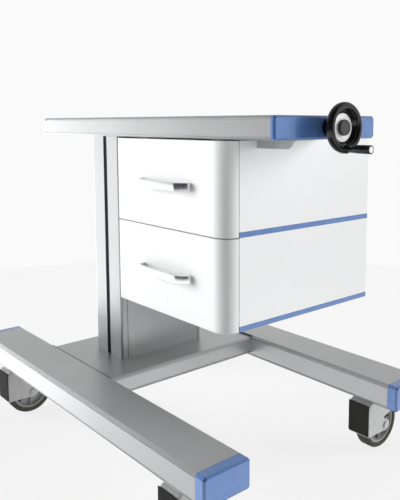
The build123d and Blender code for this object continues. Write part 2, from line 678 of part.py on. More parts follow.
def castor_fork(x, y):
    """Hood over the tyre with two cheeks and a pedal's ears, then the axle and the pedal's pin."""
    inner, outer = CHEEK
    hood_top = AXLE_Z + HOOD_RADIUS
    hood = extrude(Plane.YZ.offset(-outer) * hood_side(), 2 * outer)
    hood = fillet(hood.faces().sort_by(Axis.Y)[0].edges().filter_by(Axis.Z), 3)
    ears = extrude(Plane.YZ.offset(-outer) * pedal_ear(), 2 * outer)
    ears -= block(-inner, inner, 0, 120, 0, 140)
    hood += ears
    hood -= rod_x(-inner, inner, TRAIL, AXLE_Z, TYRE_WELL)
    hood += rod_z(0, 0, hood_top - 8, CROWN_TOP, 25)
    hood -= rod_z(0, 0, AXLE_Z, CROWN_TOP + 1, 6 + RUNNING)
    hood -= rod_x(-outer - 1, outer + 1, TRAIL, AXLE_Z, AXLE_RADIUS + RUNNING)
    hood -= rod_x(-outer - 1, outer + 1, *PEDAL_PIVOT, PEDAL_PIN + RUNNING)
    axle = rod_x(-outer, outer, TRAIL, AXLE_Z, AXLE_RADIUS)
    for way in (-1, 1):
        low, high = sorted((way * outer, way * (outer + 3)))
        axle += rod_x(low, high, TRAIL, AXLE_Z, 9)
    pin = rod_x(-outer, outer, *PEDAL_PIVOT, PEDAL_PIN)
    place = Pos(x, y, 0)
    return place * hood, place * axle, place * pin


def castor_wheel(x, y):
    """Tyre and hub of one castor."""
    rim = TYRE_RADIUS - TYRE_DEPTH
    tyre_half, hub_half, boss_half = 16.0, 13.0, CHEEK[0] - CLEAR
    tyre = revolved(
        [(-tyre_half, rim), (-tyre_half, TYRE_RADIUS), (tyre_half, TYRE_RADIUS), (tyre_half, rim)],
        {1: 6, 2: 6}, x, y + TRAIL, AXLE_Z,
    )
    bore = AXLE_RADIUS + RUNNING
    hub = revolved(
        [
            (-boss_half, bore), (-boss_half, 13), (-6, 15), (-6, rim - 8), (-hub_half, rim - 5),
            (-hub_half, rim), (hub_half, rim), (hub_half, rim - 5), (6, rim - 8), (6, 15),
            (boss_half, 13), (boss_half, bore),
        ],
        {}, x, y + TRAIL, AXLE_Z,
    )
    return tyre, hub


def castor_pedal(x, y):
    """Brake pedal that turns on the pin between the ears, with a ribbed toe plate behind."""
    half = CHEEK[0] - CLEAR
    pivot_y, pivot_z = PEDAL_PIVOT
    toe_top = pivot_z + 4
    tube = rod_x(-half, half, pivot_y, pivot_z, 6)
    toe = block(-half, half, pivot_y, PEDAL_REACH, toe_top - 5, toe_top)
    toe = fillet(toe.edges().filter_by(Axis.Z).group_by(Axis.Y)[-1], 6)
    pedal = tube + toe
    for step in (12, 18, 24):
        rib_y = pivot_y + step
        pedal += block(-half + 4, half - 4, rib_y, rib_y + 2, toe_top - 1, toe_top + 1.2)
    pedal -= rod_x(-half - 1, half + 1, pivot_y, pivot_z, PEDAL_PIN + RUNNING)
    return Pos(x, y, 0) * pedal


# ------------------------------------------------------------------ write every node

save("front_beam", beam(-BEAM_Y))
save("rear_beam", beam(BEAM_Y))
save("beam_caps", *[beam_cap(sy * BEAM_Y, sx) for sy in (-1, 1) for sx in (-1, 1)])
save("cross_member", cross_member())
save("corner_blocks", corner_block(-1), corner_block(1))
save("castor_plates", *[castor_plate(x, y) for x, y in castors()])
save("frame_screws", *base_screws())

save("column", column())
save("column_strips", slot_strip(-1), slot_strip(1))

save("worktop", worktop())
save("worktop_cap_left", worktop_cap(-1))
save("worktop_cap_right", worktop_cap(1))
save("spindle_bearings", spindle_bearing(-1), spindle_bearing(1))
save("worktop_bracket", worktop_bracket())
save("sliding_block", sliding_block())

for panel_name, panel_solid in cabinet_panels().items():
    save(panel_name, panel_solid)
save("cabinet_hangers", hanger(CABINET_X[0] + 60), hanger(CABINET_X[1] - 60))

rails = []
for tier, front_z, opening_z in tier_bottoms():
    runner_z = opening_z + 50
    handle_z = front_z + FRONT_HEIGHT / 2
    rails += runner_members("outer", runner_z)
    save(f"{tier}_drawer_front", drawer_front(front_z))
    save(f"{tier}_drawer_box", drawer_box(opening_z + 12, handle_z))
    save(f"{tier}_drawer_handle", bow_handle(handle_z))
    save(f"{tier}_drawer_screws", *handle_screws(handle_z))
    save(f"{tier}_drawer_slides", *runner_members("inner", runner_z))
    save(f"{tier}_runner_middle", *runner_members("middle", runner_z))
save("runner_rails", *rails)

save("handwheel_rim", handwheel_rim())
save("handwheel_disc", handwheel_disc())
save("handwheel_hub_cap", hub_cap())
save("handwheel_spindle", spindle())
save("crank_pin", crank_pin())
save("grip_sleeve", grip_sleeve())
save("grip_disc", grip_disc())

for corner_name, (castor_x, castor_y) in zip(("fl", "fr", "rl", "rr"), castors()):
    save(f"castor_{corner_name}_fork", *castor_fork(castor_x, castor_y))
    save(f"castor_{corner_name}_wheel", *castor_wheel(castor_x, castor_y))
    save(f"castor_{corner_name}_pedal", castor_pedal(castor_x, castor_y))
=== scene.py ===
import json
import math

import bmesh
import bpy
from mathutils import Matrix, Vector


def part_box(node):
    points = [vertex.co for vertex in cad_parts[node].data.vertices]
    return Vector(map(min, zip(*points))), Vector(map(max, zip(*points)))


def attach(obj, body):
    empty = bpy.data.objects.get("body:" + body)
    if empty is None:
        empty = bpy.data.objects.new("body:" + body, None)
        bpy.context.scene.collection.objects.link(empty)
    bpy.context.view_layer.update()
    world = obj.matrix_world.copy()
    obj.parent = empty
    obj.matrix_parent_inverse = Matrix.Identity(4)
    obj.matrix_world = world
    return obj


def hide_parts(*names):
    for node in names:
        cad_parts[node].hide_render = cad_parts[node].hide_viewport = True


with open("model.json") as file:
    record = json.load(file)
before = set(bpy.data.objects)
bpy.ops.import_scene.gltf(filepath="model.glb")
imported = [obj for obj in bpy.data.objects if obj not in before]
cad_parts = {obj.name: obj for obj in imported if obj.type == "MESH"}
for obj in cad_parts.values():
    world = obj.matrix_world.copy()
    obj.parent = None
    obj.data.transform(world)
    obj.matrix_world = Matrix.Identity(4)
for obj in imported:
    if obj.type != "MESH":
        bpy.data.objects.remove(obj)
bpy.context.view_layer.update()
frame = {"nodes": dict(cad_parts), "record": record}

MM = 0.001
WHITE_LIGHT = (1.0, 1.0, 1.0, 1.0)

# Where the camera stands, in metres, how it turns from +Y towards -X and down, and its lens in mm.
CAMERA_PLACE = (1.2576, -0.9914, 0.8048)
CAMERA_TURN = math.radians(48.36)
CAMERA_TILT = math.radians(6.30)
SENSOR_WIDTH = 36.0
LENS = 45.84
LENS_SHIFT = (-0.0724, -0.1116)

# What the camera sees behind the object, and what the floor gives to the camera and to surfaces near it.
BACKDROP = 0.955
FLOOR_GLOW = 0.78
FLOOR_BOUNCE = 0.80
FLOOR_RADIUS = 2.2

# The studio that the surfaces reflect: how bright each side is, and the heights or turns where it changes,
# as parts of the direction's unit vector.
WALLS = 0.95
DARK_END = 0.05
DARK_SIDE = (0.5, -0.866, 0.0)
DARK_FROM, DARK_TO = -0.10, 0.30
NEAR_FLOOR = 1.45
FLOOR_DROP = 0.28
FLOOR_FADE = 0.10
LEFT_FROM, LEFT_TO = -0.90, -0.62
CEILING = 0.35
CEILING_FROM, CEILING_TO = 0.45, 0.75
UNDER = 0.12
UNDER_FROM, UNDER_TO = -0.64, -0.53

# The lights stand on a sphere round this point.
LIT_POINT = Vector((0.0, 0.0, 0.5))
LIGHT_DISTANCE = 6.0


# ---------------------------------------------------------------- stage, light and camera

def add_camera():
    """A view from the right of the drawers, level with the worktop and tilted a little down."""
    forward = Vector((
        -math.sin(CAMERA_TURN) * math.cos(CAMERA_TILT),
        math.cos(CAMERA_TURN) * math.cos(CAMERA_TILT),
        -math.sin(CAMERA_TILT),
    ))
    data = bpy.data.cameras.new("camera")
    data.sensor_width = SENSOR_WIDTH
    data.lens = LENS
    data.shift_x, data.shift_y = LENS_SHIFT
    camera = bpy.data.objects.new("camera", data)
    camera.location = CAMERA_PLACE
    camera.rotation_euler = forward.to_track_quat("-Z", "Y").to_euler()
    bpy.context.scene.collection.objects.link(camera)
    bpy.context.scene.camera = camera


def from_side(turn, rise):
    """The direction towards a light: turn degrees from the fronts' side (-Y) to the left (-X), rise up."""
    turn, rise = math.radians(turn), math.radians(rise)
    return Vector((-math.sin(turn) * math.cos(rise), -math.cos(turn) * math.cos(rise), math.sin(rise)))


def aimed(data, towards):
    """Places a light in that direction from the object, facing it."""
    light = bpy.data.objects.new(data.name, data)
    light.location = LIT_POINT + towards * LIGHT_DISTANCE
    light.rotation_euler = towards.to_track_quat("Z", "Y").to_euler()
    bpy.context.scene.collection.objects.link(light)
    return light


def add_soft_sun(name, turn, rise, strength, softness):
    """A wide far lamp that only brightens surfaces, without a highlight of its own."""
    data = bpy.data.lights.new(name, "SUN")
    data.energy = strength
    data.angle = math.radians(softness)
    aimed(data, from_side(turn, rise)).visible_glossy = False


def add_reflector(name, turn, rise, size, power):
    """A large white card that shows as a highlight in the metal."""
    data = bpy.data.lights.new(name, "AREA")
    data.shape = "RECTANGLE"
    data.size, data.size_y = size
    data.energy = power
    aimed(data, from_side(turn, rise)).visible_diffuse = False


def add_world():
    """A near-white backdrop for the camera, and a bright studio with one dark end for the surfaces."""
    world = bpy.data.worlds.new("world")
    bpy.context.scene.world = world
    world.use_nodes = True
    tree = world.node_tree
    walls = tree.nodes["Background"]
    walls.inputs["Color"].default_value = WHITE_LIGHT

    direction = tree.nodes.new("ShaderNodeTexCoord").outputs["Generated"]
    towards_dark = tree.nodes.new("ShaderNodeVectorMath")
    towards_dark.operation = "DOT_PRODUCT"
    towards_dark.inputs[1].default_value = DARK_SIDE
    tree.links.new(direction, towards_dark.inputs[0])
    split = tree.nodes.new("ShaderNodeSeparateXYZ")
    tree.links.new(direction, split.inputs["Vector"])

    def graded(value, first, second, low, high):
        """Goes softly from first to second as value goes from low to high."""
        grade = tree.nodes.new("ShaderNodeMapRange")
        grade.interpolation_type = "SMOOTHSTEP"
        grade.inputs["From Min"].default_value = low
        grade.inputs["From Max"].default_value = high
        grade.inputs["To Min"].default_value = first
        grade.inputs["To Max"].default_value = second
        tree.links.new(value, grade.inputs["Value"])
        return grade.outputs["Result"]

    def combined(operation, first, second):
        node = tree.nodes.new("ShaderNodeMath")
        node.operation = operation
        tree.links.new(first, node.inputs[0])
        tree.links.new(second, node.inputs[1])
        return node.outputs["Value"]

    across, up = split.outputs["X"], split.outputs["Z"]
    round_walls = graded(towards_dark.outputs["Value"], WALLS, DARK_END, DARK_FROM, DARK_TO)
    floor_edge = graded(across, 0.0, FLOOR_DROP, LEFT_FROM, LEFT_TO)
    near_floor = graded(combined("ADD", up, floor_edge), NEAR_FLOOR, 0.0, 0.0, FLOOR_FADE)
    ceiling = graded(up, 1.0, CEILING, CEILING_FROM, CEILING_TO)
    under = graded(up, UNDER, 1.0, UNDER_FROM, UNDER_TO)
    level = combined("MULTIPLY", combined("MAXIMUM", round_walls, near_floor), ceiling)
    level = combined("MULTIPLY", level, under)
    tree.links.new(level, walls.inputs["Strength"])

    backdrop = tree.nodes.new("ShaderNodeBackground")
    backdrop.inputs["Color"].default_value = WHITE_LIGHT
    backdrop.inputs["Strength"].default_value = BACKDROP
    seen = tree.nodes.new("ShaderNodeLightPath").outputs["Is Camera Ray"]
    choice = tree.nodes.new("ShaderNodeMixShader")
    tree.links.new(seen, choice.inputs["Fac"])
    tree.links.new(walls.outputs["Background"], choice.inputs[1])
    tree.links.new(backdrop.outputs["Background"], choice.inputs[2])
    tree.links.new(choice.outputs["Shader"], tree.nodes["World Output"].inputs["Surface"])


def add_floor():
    """A pale floor, lit from within for the camera so that it meets the backdrop with hardly a horizon."""
    mesh = bpy.data.meshes.new("floor")
    shape = bmesh.new()
    bmesh.ops.create_circle(shape, cap_ends=True, segments=96, radius=FLOOR_RADIUS)
    shape.to_mesh(mesh)
    shape.free()
    floor = bpy.data.objects.new("floor", mesh)
    floor.visible_glossy = False
    bpy.context.scene.collection.objects.link(floor)

    finish = Finish("floor")
    cloud = finish.noise(2.0)
    finish.colour(finish.ramp(cloud, (0.195, 0.195, 0.195), (0.205, 0.205, 0.205)))
    finish.set(Roughness=0.9, Specular_IOR_Level=0.0, Emission_Color=WHITE_LIGHT)
    lighting = finish.add("ShaderNodeLightPath").outputs["Is Diffuse Ray"]
    glow = finish.add("ShaderNodeMapRange")
    glow.inputs["To Min"].default_value = FLOOR_GLOW
    glow.inputs["To Max"].default_value = FLOOR_BOUNCE
    finish.link(lighting, glow.inputs["Value"])
    finish.link(glow.outputs["Result"], finish.shader.inputs["Emission Strength"])
    mesh.materials.append(finish.material)


def add_lights():
    add_soft_sun("front_left_sun", 48, 12, 3.4, 35)
    add_soft_sun("back_right_sun", 218, 12, 2.1, 30)
    add_soft_sun("camera_fill", -45, 14, 0.10, 60)
    add_reflector("left_card", 78, -8, (3.2, 4.6), 150)


# ---------------------------------------------------------------- material building blocks

class Finish:
    """A material and short ways to add to its nodes."""

    def __init__(self, name):
        self.material = bpy.data.materials.new(name)
        self.material.use_nodes = True
        self.tree = self.material.node_tree
        self.shader = self.tree.nodes["Principled BSDF"]
        self.place = self.add("ShaderNodeTexCoord").outputs["Object"]

    def add(self, kind, **settings):
        node = self.tree.nodes.new(kind)
        for key, value in settings.items():
            setattr(node, key, value)
        return node

    def link(self, output, target):
        self.tree.links.new(output, target)

    def set(self, **values):
        """Constant values on the shader's own sockets: metallic=1 sets Metallic."""
        for key, value in values.items():
            self.shader.inputs[key.replace("_", " ")].default_value = value

    def brushed(self, axis, across, along):
        """Coordinates that draw noise out into lines: across per metre beside the axis, along on it."""
        scale = [across, across, across]
        scale["XYZ".index(axis)] = along
        mapping = self.add("ShaderNodeMapping")
        mapping.inputs["Scale"].default_value = scale
        self.link(self.place, mapping.inputs["Vector"])
        return mapping.outputs["Vector"]

    def noise(self, scale, detail=4.0, vector=None):
        noise = self.add("ShaderNodeTexNoise")
        noise.inputs["Scale"].default_value = scale
        noise.inputs["Detail"].default_value = detail
        noise.inputs["Roughness"].default_value = 0.55
        self.link(vector or self.place, noise.inputs["Vector"])
        return noise.outputs["Fac"]

    def cells(self, scale):
        voronoi = self.add("ShaderNodeTexVoronoi")
        voronoi.inputs["Scale"].default_value = scale
        self.link(self.place, voronoi.inputs["Vector"])
        return voronoi.outputs["Distance"]

    def ramp(self, value, low, high, start=0.35, end=0.65):
        """Colours from low to high as value goes from start to end."""
        ramp = self.add("ShaderNodeValToRGB")
        ramp.color_ramp.elements[0].position = start
        ramp.color_ramp.elements[1].position = end
        ramp.color_ramp.elements[0].color = (*low, 1)
        ramp.color_ramp.elements[1].color = (*high, 1)
        self.link(value, ramp.inputs["Fac"])
        return ramp.outputs["Color"]

    def spread(self, value, low, high):
        """value, from 0.3 to 0.7, spread over low to high."""
        spread = self.add("ShaderNodeMapRange")
        spread.inputs["From Min"].default_value = 0.3
        spread.inputs["From Max"].default_value = 0.7
        spread.inputs["To Min"].default_value = low
        spread.inputs["To Max"].default_value = high
        self.link(value, spread.inputs["Value"])
        return spread.outputs["Result"]

    def sum(self, first, second, share):
        """first plus share times second."""
        total = self.add("ShaderNodeMath", operation="MULTIPLY_ADD")
        self.link(second, total.inputs[0])
        total.inputs[1].default_value = share
        self.link(first, total.inputs[2])
        return total.outputs["Value"]

    def colour(self, output):
        self.link(output, self.shader.inputs["Base Color"])

    def rough(self, output):
        self.link(output, self.shader.inputs["Roughness"])

    def bump(self, height, depth, strength, edge=0.0):
        """Relief of that depth in mm; edge rounds hard edges by that radius in mm."""
        bump = self.add("ShaderNodeBump")
        bump.inputs["Strength"].default_value = strength
        bump.inputs["Distance"].default_value = depth * MM
        self.link(height, bump.inputs["Height"])
        if edge > 0:
            bevel = self.add("ShaderNodeBevel", samples=4)
            bevel.inputs["Radius"].default_value = edge * MM
            self.link(bevel.outputs["Normal"], bump.inputs["Normal"])
        self.link(bump.outputs["Normal"], self.shader.inputs["Normal"])


def scaled(colour, factor):
    return tuple(channel * factor for channel in colour)


def anodised(name, axis):
    """Satin anodised aluminium with faint extrusion lines along one axis."""
    finish = Finish(name)
    lines = finish.noise(1.0, 3.0, finish.brushed(axis, 700.0, 1.2))
    cloud = finish.noise(9.0)
    mixed = finish.sum(lines, cloud, 0.5)
    finish.colour(finish.ramp(mixed, (0.43, 0.435, 0.44), (0.47, 0.475, 0.48), 0.55, 0.95))
    finish.rough(finish.spread(lines, 0.34, 0.40))
    finish.bump(lines, 0.01, 0.5, edge=0.6)
    finish.set(Metallic=0.65)
    return finish.material


def lacquer(name, colour):
    """White gloss lacquer with a faint orange peel."""
    finish = Finish(name)
    cloud = finish.noise(4.0, 1.0)
    finish.colour(finish.ramp(cloud, scaled(colour, 0.99), colour, 0.0, 1.0))
    peel = finish.noise(260.0, 2.0)
    finish.rough(finish.spread(peel, 0.27, 0.31))
    finish.bump(peel, 0.005, 0.5, edge=0.8)
    finish.set(Coat_Weight=0.35, Coat_Roughness=0.12)
    return finish.material


def board(name):
    """Melamine-faced board: a pale matt face with fine pores."""
    finish = Finish(name)
    pores = finish.noise(900.0, 3.0)
    finish.colour(finish.ramp(finish.noise(40.0), (0.80, 0.80, 0.79), (0.84, 0.84, 0.83)))
    finish.rough(finish.spread(pores, 0.45, 0.58))
    finish.bump(pores, 0.05, 0.7, edge=0.6)
    return finish.material


def moulded(name, colour, roughness, grain=0.06, coat=0.0, shine=0.5):
    """Moulded plastic: a slight mottle, a fine grain of that depth in mm and softened edges."""
    finish = Finish(name)
    mottle = finish.noise(60.0)
    finish.colour(finish.ramp(mottle, scaled(colour, 0.92), scaled(colour, 1.05)))
    grains = finish.sum(finish.noise(1400.0, 2.0), finish.cells(1100.0), 0.4)
    finish.rough(finish.spread(finish.noise(24.0), roughness - 0.03, roughness + 0.05))
    finish.bump(grains, grain, 0.6, edge=0.6)
    finish.set(Coat_Weight=coat, Coat_Roughness=0.08, Specular_IOR_Level=shine)
    return finish.material


def satin_chrome(name):
    """Bright satin chrome, brushed along X."""
    finish = Finish(name)
    lines = finish.noise(1.0, 2.0, finish.brushed("X", 1500.0, 14.0))
    finish.colour(finish.ramp(lines, (0.80, 0.80, 0.81), (0.88, 0.88, 0.89)))
    finish.rough(finish.spread(lines, 0.16, 0.24))
    finish.bump(lines, 0.02, 0.5)
    finish.set(Metallic=1.0)
    return finish.material


def zinc(name):
    """Zinc-plated steel with a faint spangle and a worn, uneven shine."""
    finish = Finish(name)
    spangle = finish.sum(finish.cells(160.0), finish.noise(35.0), 0.8)
    finish.colour(finish.ramp(spangle, (0.45, 0.46, 0.47), (0.66, 0.67, 0.69), 0.3, 0.95))
    finish.rough(finish.spread(finish.noise(90.0), 0.28, 0.46))
    finish.bump(finish.noise(500.0), 0.04, 0.6, edge=0.4)
    finish.set(Metallic=1.0)
    return finish.material


def rubber(name):
    """Dark olive-black tyre rubber, matt and a little dusty."""
    finish = Finish(name)
    dust = finish.noise(120.0)
    finish.colour(finish.ramp(dust, (0.034, 0.036, 0.024), (0.062, 0.064, 0.046)))
    finish.rough(finish.spread(finish.noise(300.0), 0.62, 0.82))
    finish.bump(finish.noise(900.0, 3.0), 0.12, 0.8)
    return finish.material


def powder_coat(name, colour):
    """Powder-coated casting with a fine orange peel."""
    finish = Finish(name)
    peel = finish.noise(420.0, 2.0)
    finish.colour(finish.ramp(finish.noise(25.0), scaled(colour, 0.95), colour))
    finish.rough(finish.spread(peel, 0.42, 0.55))
    finish.bump(peel, 0.12, 0.7, edge=0.8)
    return finish.material


WHITE = (0.87, 0.875, 0.88)
BLUE = (0.105, 0.215, 0.50)

paint = {
    "profile_x": anodised("anodised_along_x", "X"),
    "profile_y": anodised("anodised_along_y", "Y"),
    "profile_z": anodised("anodised_along_z", "Z"),
    "milled": anodised("milled_aluminium", "X"),
    "lacquer": lacquer("white_lacquer", WHITE),
    "board": board("white_board"),
    "blue": moulded("blue_plastic", BLUE, 0.24, 0.03, 0.4),
    "white_plastic": moulded("white_plastic", (0.80, 0.805, 0.81), 0.42),
    "black_plastic": moulded("black_plastic", (0.004, 0.004, 0.0045), 0.60, shine=0.1),
    "black_gloss": moulded("black_gloss", (0.007, 0.007, 0.0075), 0.20, 0.01),
    # Near-black and almost without shine: painted shade on the castor hoods' fronts.
    "cover_dark": moulded("castor_front_painted_shade", (0.028, 0.028, 0.027), 0.65, 0.10, shine=0.05),
    "dark_grey": moulded("dark_grey_plastic", (0.045, 0.045, 0.046), 0.38),
    "bright_disc": moulded("bright_disc", (0.94, 0.94, 0.94), 0.25, 0.01, 0.5),
    "hood_grey": moulded("hood_grey_plastic", (0.47, 0.475, 0.47), 0.34),
    "olive": moulded("olive_plastic", (0.075, 0.080, 0.045), 0.50, 0.10),
    "chrome": satin_chrome("satin_chrome"),
    "zinc": zinc("zinc_steel"),
    "rubber": rubber("tyre_rubber"),
    "hub_grey": moulded("hub_grey_plastic", (0.30, 0.305, 0.30), 0.45),
    "casting": powder_coat("grey_powder_coat", (0.50, 0.505, 0.51)),
}

# The finish that each of the record's material slots gets, and the slot that each finish stands for.
SLOT_PAINT = {
    "milled_aluminium": "milled",
    "blue_plastic": "blue",
    "white_plastic": "white_plastic",
    "white_gloss": "lacquer",
    "white_board": "board",
    "satin_chrome": "chrome",
    "zinc_steel": "zinc",
    "black_plastic": "black_plastic",
    "black_gloss": "black_gloss",
    "dark_grey_plastic": "dark_grey",
    "white_disc": "bright_disc",
    "grey_casting": "casting",
    "grey_plastic": "hood_grey",
    "castor_tyre": "rubber",
    "olive_plastic": "olive",
}
PAINT_SLOT = {key: slot for slot, key in SLOT_PAINT.items()}
PAINT_SLOT.update(hub_grey="castor_tyre", cover_dark="dark_grey_plastic")

# The aluminium profiles, whose extrusion lines follow their own length.
PROFILE_PAINT = {
    "front_beam": "profile_x",
    "rear_beam": "profile_x",
    "worktop": "profile_x",
    "cross_member": "profile_y",
    "column": "profile_z",
}


def paint_frame():
    """Every CAD node gets the finish that its slot in the record names."""
    for part in frame["record"]["subparts"]:
        name, slot = part["node"], part["material_slot"]
        finishes = frame["nodes"][name].data.materials
        finishes.clear()
        finishes.append(paint[PROFILE_PAINT.get(name) or SLOT_PAINT[slot]])


# ---------------------------------------------------------------- mesh building blocks

SHARP_ANGLE = math.radians(35)


def finished(name, shape, key, body, replaced=None):
    """A finished piece from a bmesh, riding on a CAD body and standing for a CAD node if one is named."""
    bmesh.ops.recalc_face_normals(shape, faces=shape.faces)
    for face in shape.faces:
        face.smooth = True
    for edge in shape.edges:
        edge.smooth = len(edge.link_faces) == 2 and edge.calc_face_angle() < SHARP_ANGLE
    mesh = bpy.data.meshes.new(name)
    shape.to_mesh(mesh)
    shape.free()
    piece = bpy.data.objects.new(name, mesh)
    bpy.context.scene.collection.objects.link(piece)
    mesh.materials.append(paint[key])
    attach(piece, body)
    if replaced:
        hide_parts(replaced)
    return piece


def rounded(corners, steps):
    """A flat polygon's points. A corner is (x, y), or (x, y, radius) where an arc rounds it."""
    sharp = [Vector(corner[:2]) for corner in corners]
    outline = []
    for index, (corner, (_, _, *radius)) in enumerate(zip(sharp, corners)):
        if not radius:
            outline.append(corner)
            continue
        radius = radius[0]
        before = (sharp[index - 1] - corner).normalized()
        after = (sharp[(index + 1) % len(sharp)] - corner).normalized()
        half = before.angle(after) / 2
        centre = corner + (before + after).normalized() * radius / math.sin(half)
        start = corner + before * radius / math.tan(half) - centre
        end = corner + after * radius / math.tan(half) - centre
        outline += [centre + radius * start.slerp(end, step / steps) for step in range(steps + 1)]
    return outline


def skin(shape, rings, joined, capped):
    """Faces between neighbouring rings of vertices; joined closes the row, and capped adds end faces."""
    count = len(rings[0])
    followers = rings[1:] + rings[:1] if joined else rings[1:]
    for ring, following in zip(rings, followers):
        for index in range(count):
            nearest = (index + 1) % count
            shape.faces.new((ring[index], ring[nearest], following[nearest], following[index]))
    if capped:
        shape.faces.new(rings[0])
        shape.faces.new(rings[-1])


def turned(shape, outline, centre, segments=72):
    """Turns an outline of (distance along X, radius) round the X axis through centre, in mm."""
    rings = []
    for step in range(segments):
        angle = math.tau * step / segments
        rings.append([
            shape.verts.new(centre + MM * Vector((x, r * math.cos(angle), r * math.sin(angle))))
            for x, r in outline
        ])
    skin(shape, rings, joined=True, capped=False)
    bmesh.ops.remove_doubles(shape, verts=shape.verts, dist=0.01 * MM)
    return shape


def swept(shape, path, section, origin):
    """Carries a section of (across, up) along a path of (x, y), both in mm, at origin."""
    rings = []
    for index, point in enumerate(path):
        before, after = path[max(index - 1, 0)], path[min(index + 1, len(path) - 1)]
        along = (after - before).normalized()
        rings.append([
            shape.verts.new(origin + MM * Vector((
                point.x + along.y * across, point.y - along.x * across, up,
            )))
            for across, up in section
        ])
    skin(shape, rings, joined=False, capped=True)
    return shape


def slab(shape, outline, thickness, matrix):
    """An outline of (x, y) points made into a plate from 0 to thickness along Z, in mm, then placed."""
    rings = [
        [shape.verts.new(matrix @ (MM * Vector((x, y, z)))) for x, y in outline]
        for z in (0.0, thickness)
    ]
    skin(shape, rings, joined=False, capped=True)
    return shape


def corners_of(node):
    """A node's lowest and highest corners at rest, in metres."""
    return [Vector(corner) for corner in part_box(node)]


def middle(node):
    low, high = corners_of(node)
    return (low + high) / 2


def soften(piece, width):
    """Small rounds on a piece's sharp edges."""
    rounding = piece.modifiers.new("rounding", "BEVEL")
    rounding.width = width
    rounding.segments = 2
    rounding.limit_method = "ANGLE"
    rounding.harden_normals = True


# ---------------------------------------------------------------- pieces, sized in mm

HANDLE_BAR = 7.0
HANDLE_BEND = 27.0
HANDLE_EDGE = 1.3
HANDLE_BEND_STEPS = 24

SCREW_SHANK = 2.0
SCREW_HEAD = 4.5
SCREW_HEAD_HEIGHT = 2.4
SCREW_CROWN = 1.6
SCREW_SOCKET = 1.7
SCREW_SOCKET_DEPTH = 1.5

SPINDLE_BORE = 8.05
CRANK_BORE = 4.05
CRANK_COLLAR = 11.0
WHEEL_FRONT = 8.0
WHEEL_BACK = -9.0
WHEEL_SEAT = -7.0
WHEEL_DISC = 28.0
WHEEL_DISC_THICK = 3.0
WHEEL_CAP = 15.5
WHEEL_CAP_FRONT = 3.0
WHEEL_CAP_LIP = 0.6
CRANK_BOSS = 9.5

GRIP_FOOT = 7.2
GRIP_NECK = 6.6
GRIP_BELLY = 8.2
GRIP_END = 8.6
GRIP_DISC = 6.5

TYRE_WIDTH = 32.0
TYRE_RADIUS = 62.5
TYRE_SHOULDER = 3.0
RIM_RADIUS = 50.5
AXLE_BORE = 6.05
HUB_RIBS = 8
HUB_RIB = 2.4

# The plate that paints each hood's front in shade, in mm.
COVER_MARGIN = 3.2
COVER_HEIGHT = 78.0
COVER_FOOT = 52.0
COVER_THICK = 1.6
COVER_SUNK = 0.1
COVER_EDGE = 0.6

BEAM_CHAMFER = 5.5
# The dark bead at the cross-member's ends is painted shade in the step below the beams' edges; these are
# its sizes.
SEAM_SHADE_SUNK = 0.3
SEAM_SHADE_BITE = 0.5
SEAM_SHADE_DIP = 0.5
SEAM_SHADE_FOOT = 0.8
SEAM_SHADE_BROW = 1.6


def add_handle(tier):
    """Bow handle: a flat bar with soft edges, bent round at both ends."""
    node = f"{tier}_drawer_handle"
    low, high = (corner / MM for corner in corners_of(node))
    half = (high.x - low.x - HANDLE_BAR) / 2
    reach = high.y - low.y - HANDLE_BAR / 2
    foot, corner, bar = Vector((-half, 0)), Vector((-half, -reach)), Vector((HANDLE_BEND - half, -reach))
    shares = [step / HANDLE_BEND_STEPS for step in range(HANDLE_BEND_STEPS + 1)]
    bend = [foot.lerp(corner, share).lerp(corner.lerp(bar, share), share) for share in shares]
    path = bend + [Vector((-point.x, point.y)) for point in reversed(bend)]

    flat, tall = HANDLE_BAR / 2, (high.z - low.z) / 2
    edges = [(-flat, -tall), (flat, -tall), (flat, tall), (-flat, tall)]
    section = rounded([(*edge, HANDLE_EDGE) for edge in edges], 5)
    origin = MM * Vector(((low.x + high.x) / 2, high.y, (low.z + high.z) / 2))
    bow = swept(bmesh.new(), path, section, origin)
    finished(f"{tier}_handle_bar", bow, "chrome", f"{tier}_drawer", node)


def add_screws(tier):
    """Pan-head screws with a round socket, inside the drawer behind the handle's feet."""
    node = f"{tier}_drawer_screws"
    low, high = (corner / MM for corner in corners_of(node))
    length = high.y - low.y
    under_head, socket_floor = length - SCREW_HEAD_HEIGHT, length - SCREW_SOCKET_DEPTH
    shank = [(0, 0), (0, SCREW_SHANK), (under_head, SCREW_SHANK)]
    head = [(under_head, SCREW_HEAD), (length, SCREW_HEAD, SCREW_CROWN)]
    socket = [(length, SCREW_SOCKET), (socket_floor, SCREW_SOCKET), (socket_floor, 0)]
    shape = turned(bmesh.new(), rounded(shank + head + socket, 5), Vector((0, 0, 0)), 32)

    copied = bmesh.ops.duplicate(shape, geom=shape.verts[:] + shape.edges[:] + shape.faces[:])["geom"]
    second = [item for item in copied if isinstance(item, bmesh.types.BMVert)]
    apart = high.x - low.x - 2 * SCREW_HEAD
    bmesh.ops.translate(shape, verts=second, vec=MM * Vector((0, -apart, 0)))
    place = Matrix.Translation(MM * Vector((low.x + SCREW_HEAD, low.y, (low.z + high.z) / 2)))
    quarter_turn = Matrix.Rotation(math.radians(90), 4, "Z")
    bmesh.ops.transform(shape, matrix=place @ quarter_turn, verts=shape.verts)
    finished(f"{tier}_handle_screws", shape, "zinc", f"{tier}_drawer", node)


